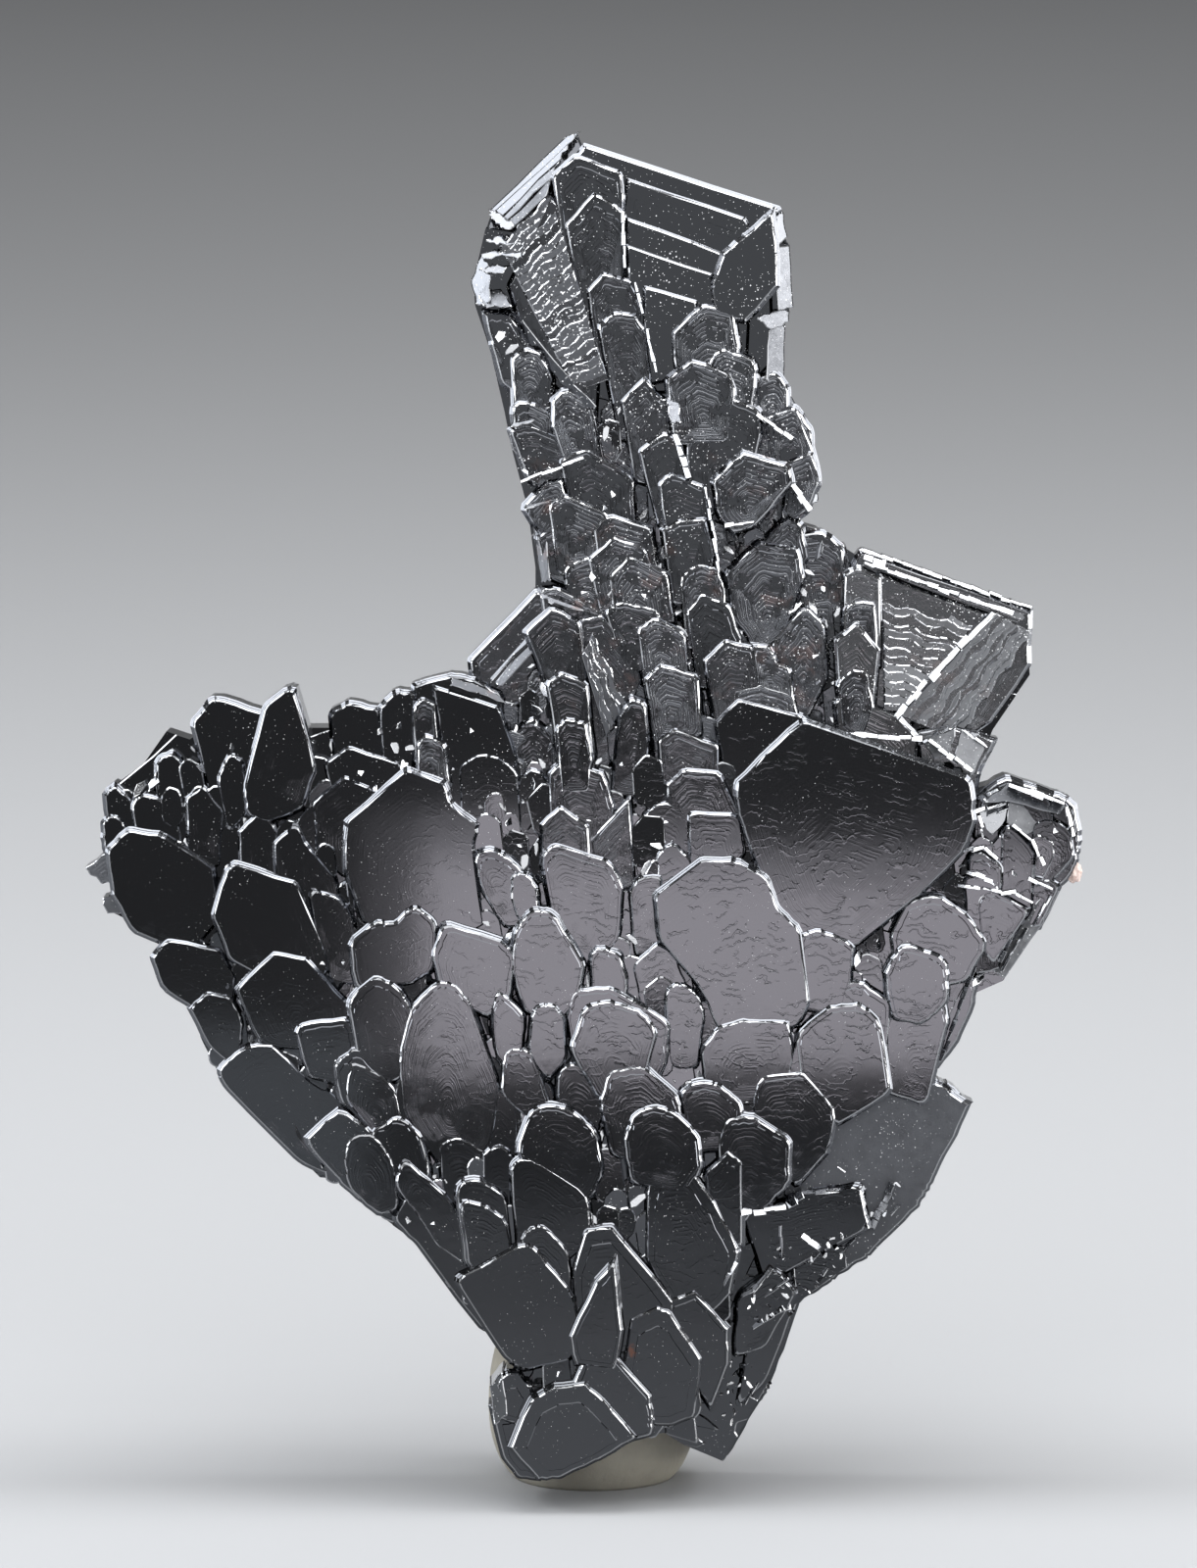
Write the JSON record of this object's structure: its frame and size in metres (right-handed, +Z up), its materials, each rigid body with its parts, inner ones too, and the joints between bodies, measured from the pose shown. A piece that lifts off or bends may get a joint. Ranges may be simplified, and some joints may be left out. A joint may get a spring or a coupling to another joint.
{
  "type": "hematite specimen",
  "caption": "Upright fan of mirror-bright platy hematite crystals, grown together and held by the tip in a lump of pale mounting putty.",
  "frame": {"origin": "on the resting surface, under the middle of the whole object's width and depth", "axes": "+Z up, -Y out of the front with the bright plate faces, +X to the right seen from the front"},
  "size_m": [0.0508, 0.0187, 0.069],
  "materials": {
    "hematite": "natural mirror-bright metallic crystal faces, steel grey to black, with stepped growth lines",
    "pale_mineral": "dull, finely granular",
    "putty": "matte, hand-pressed"
  },
  "bodies": {
    "root": {"hematite_crystals": "hematite", "pale_grain": "pale_mineral", "putty_lump": "putty"}
  },
  "joints": []
}
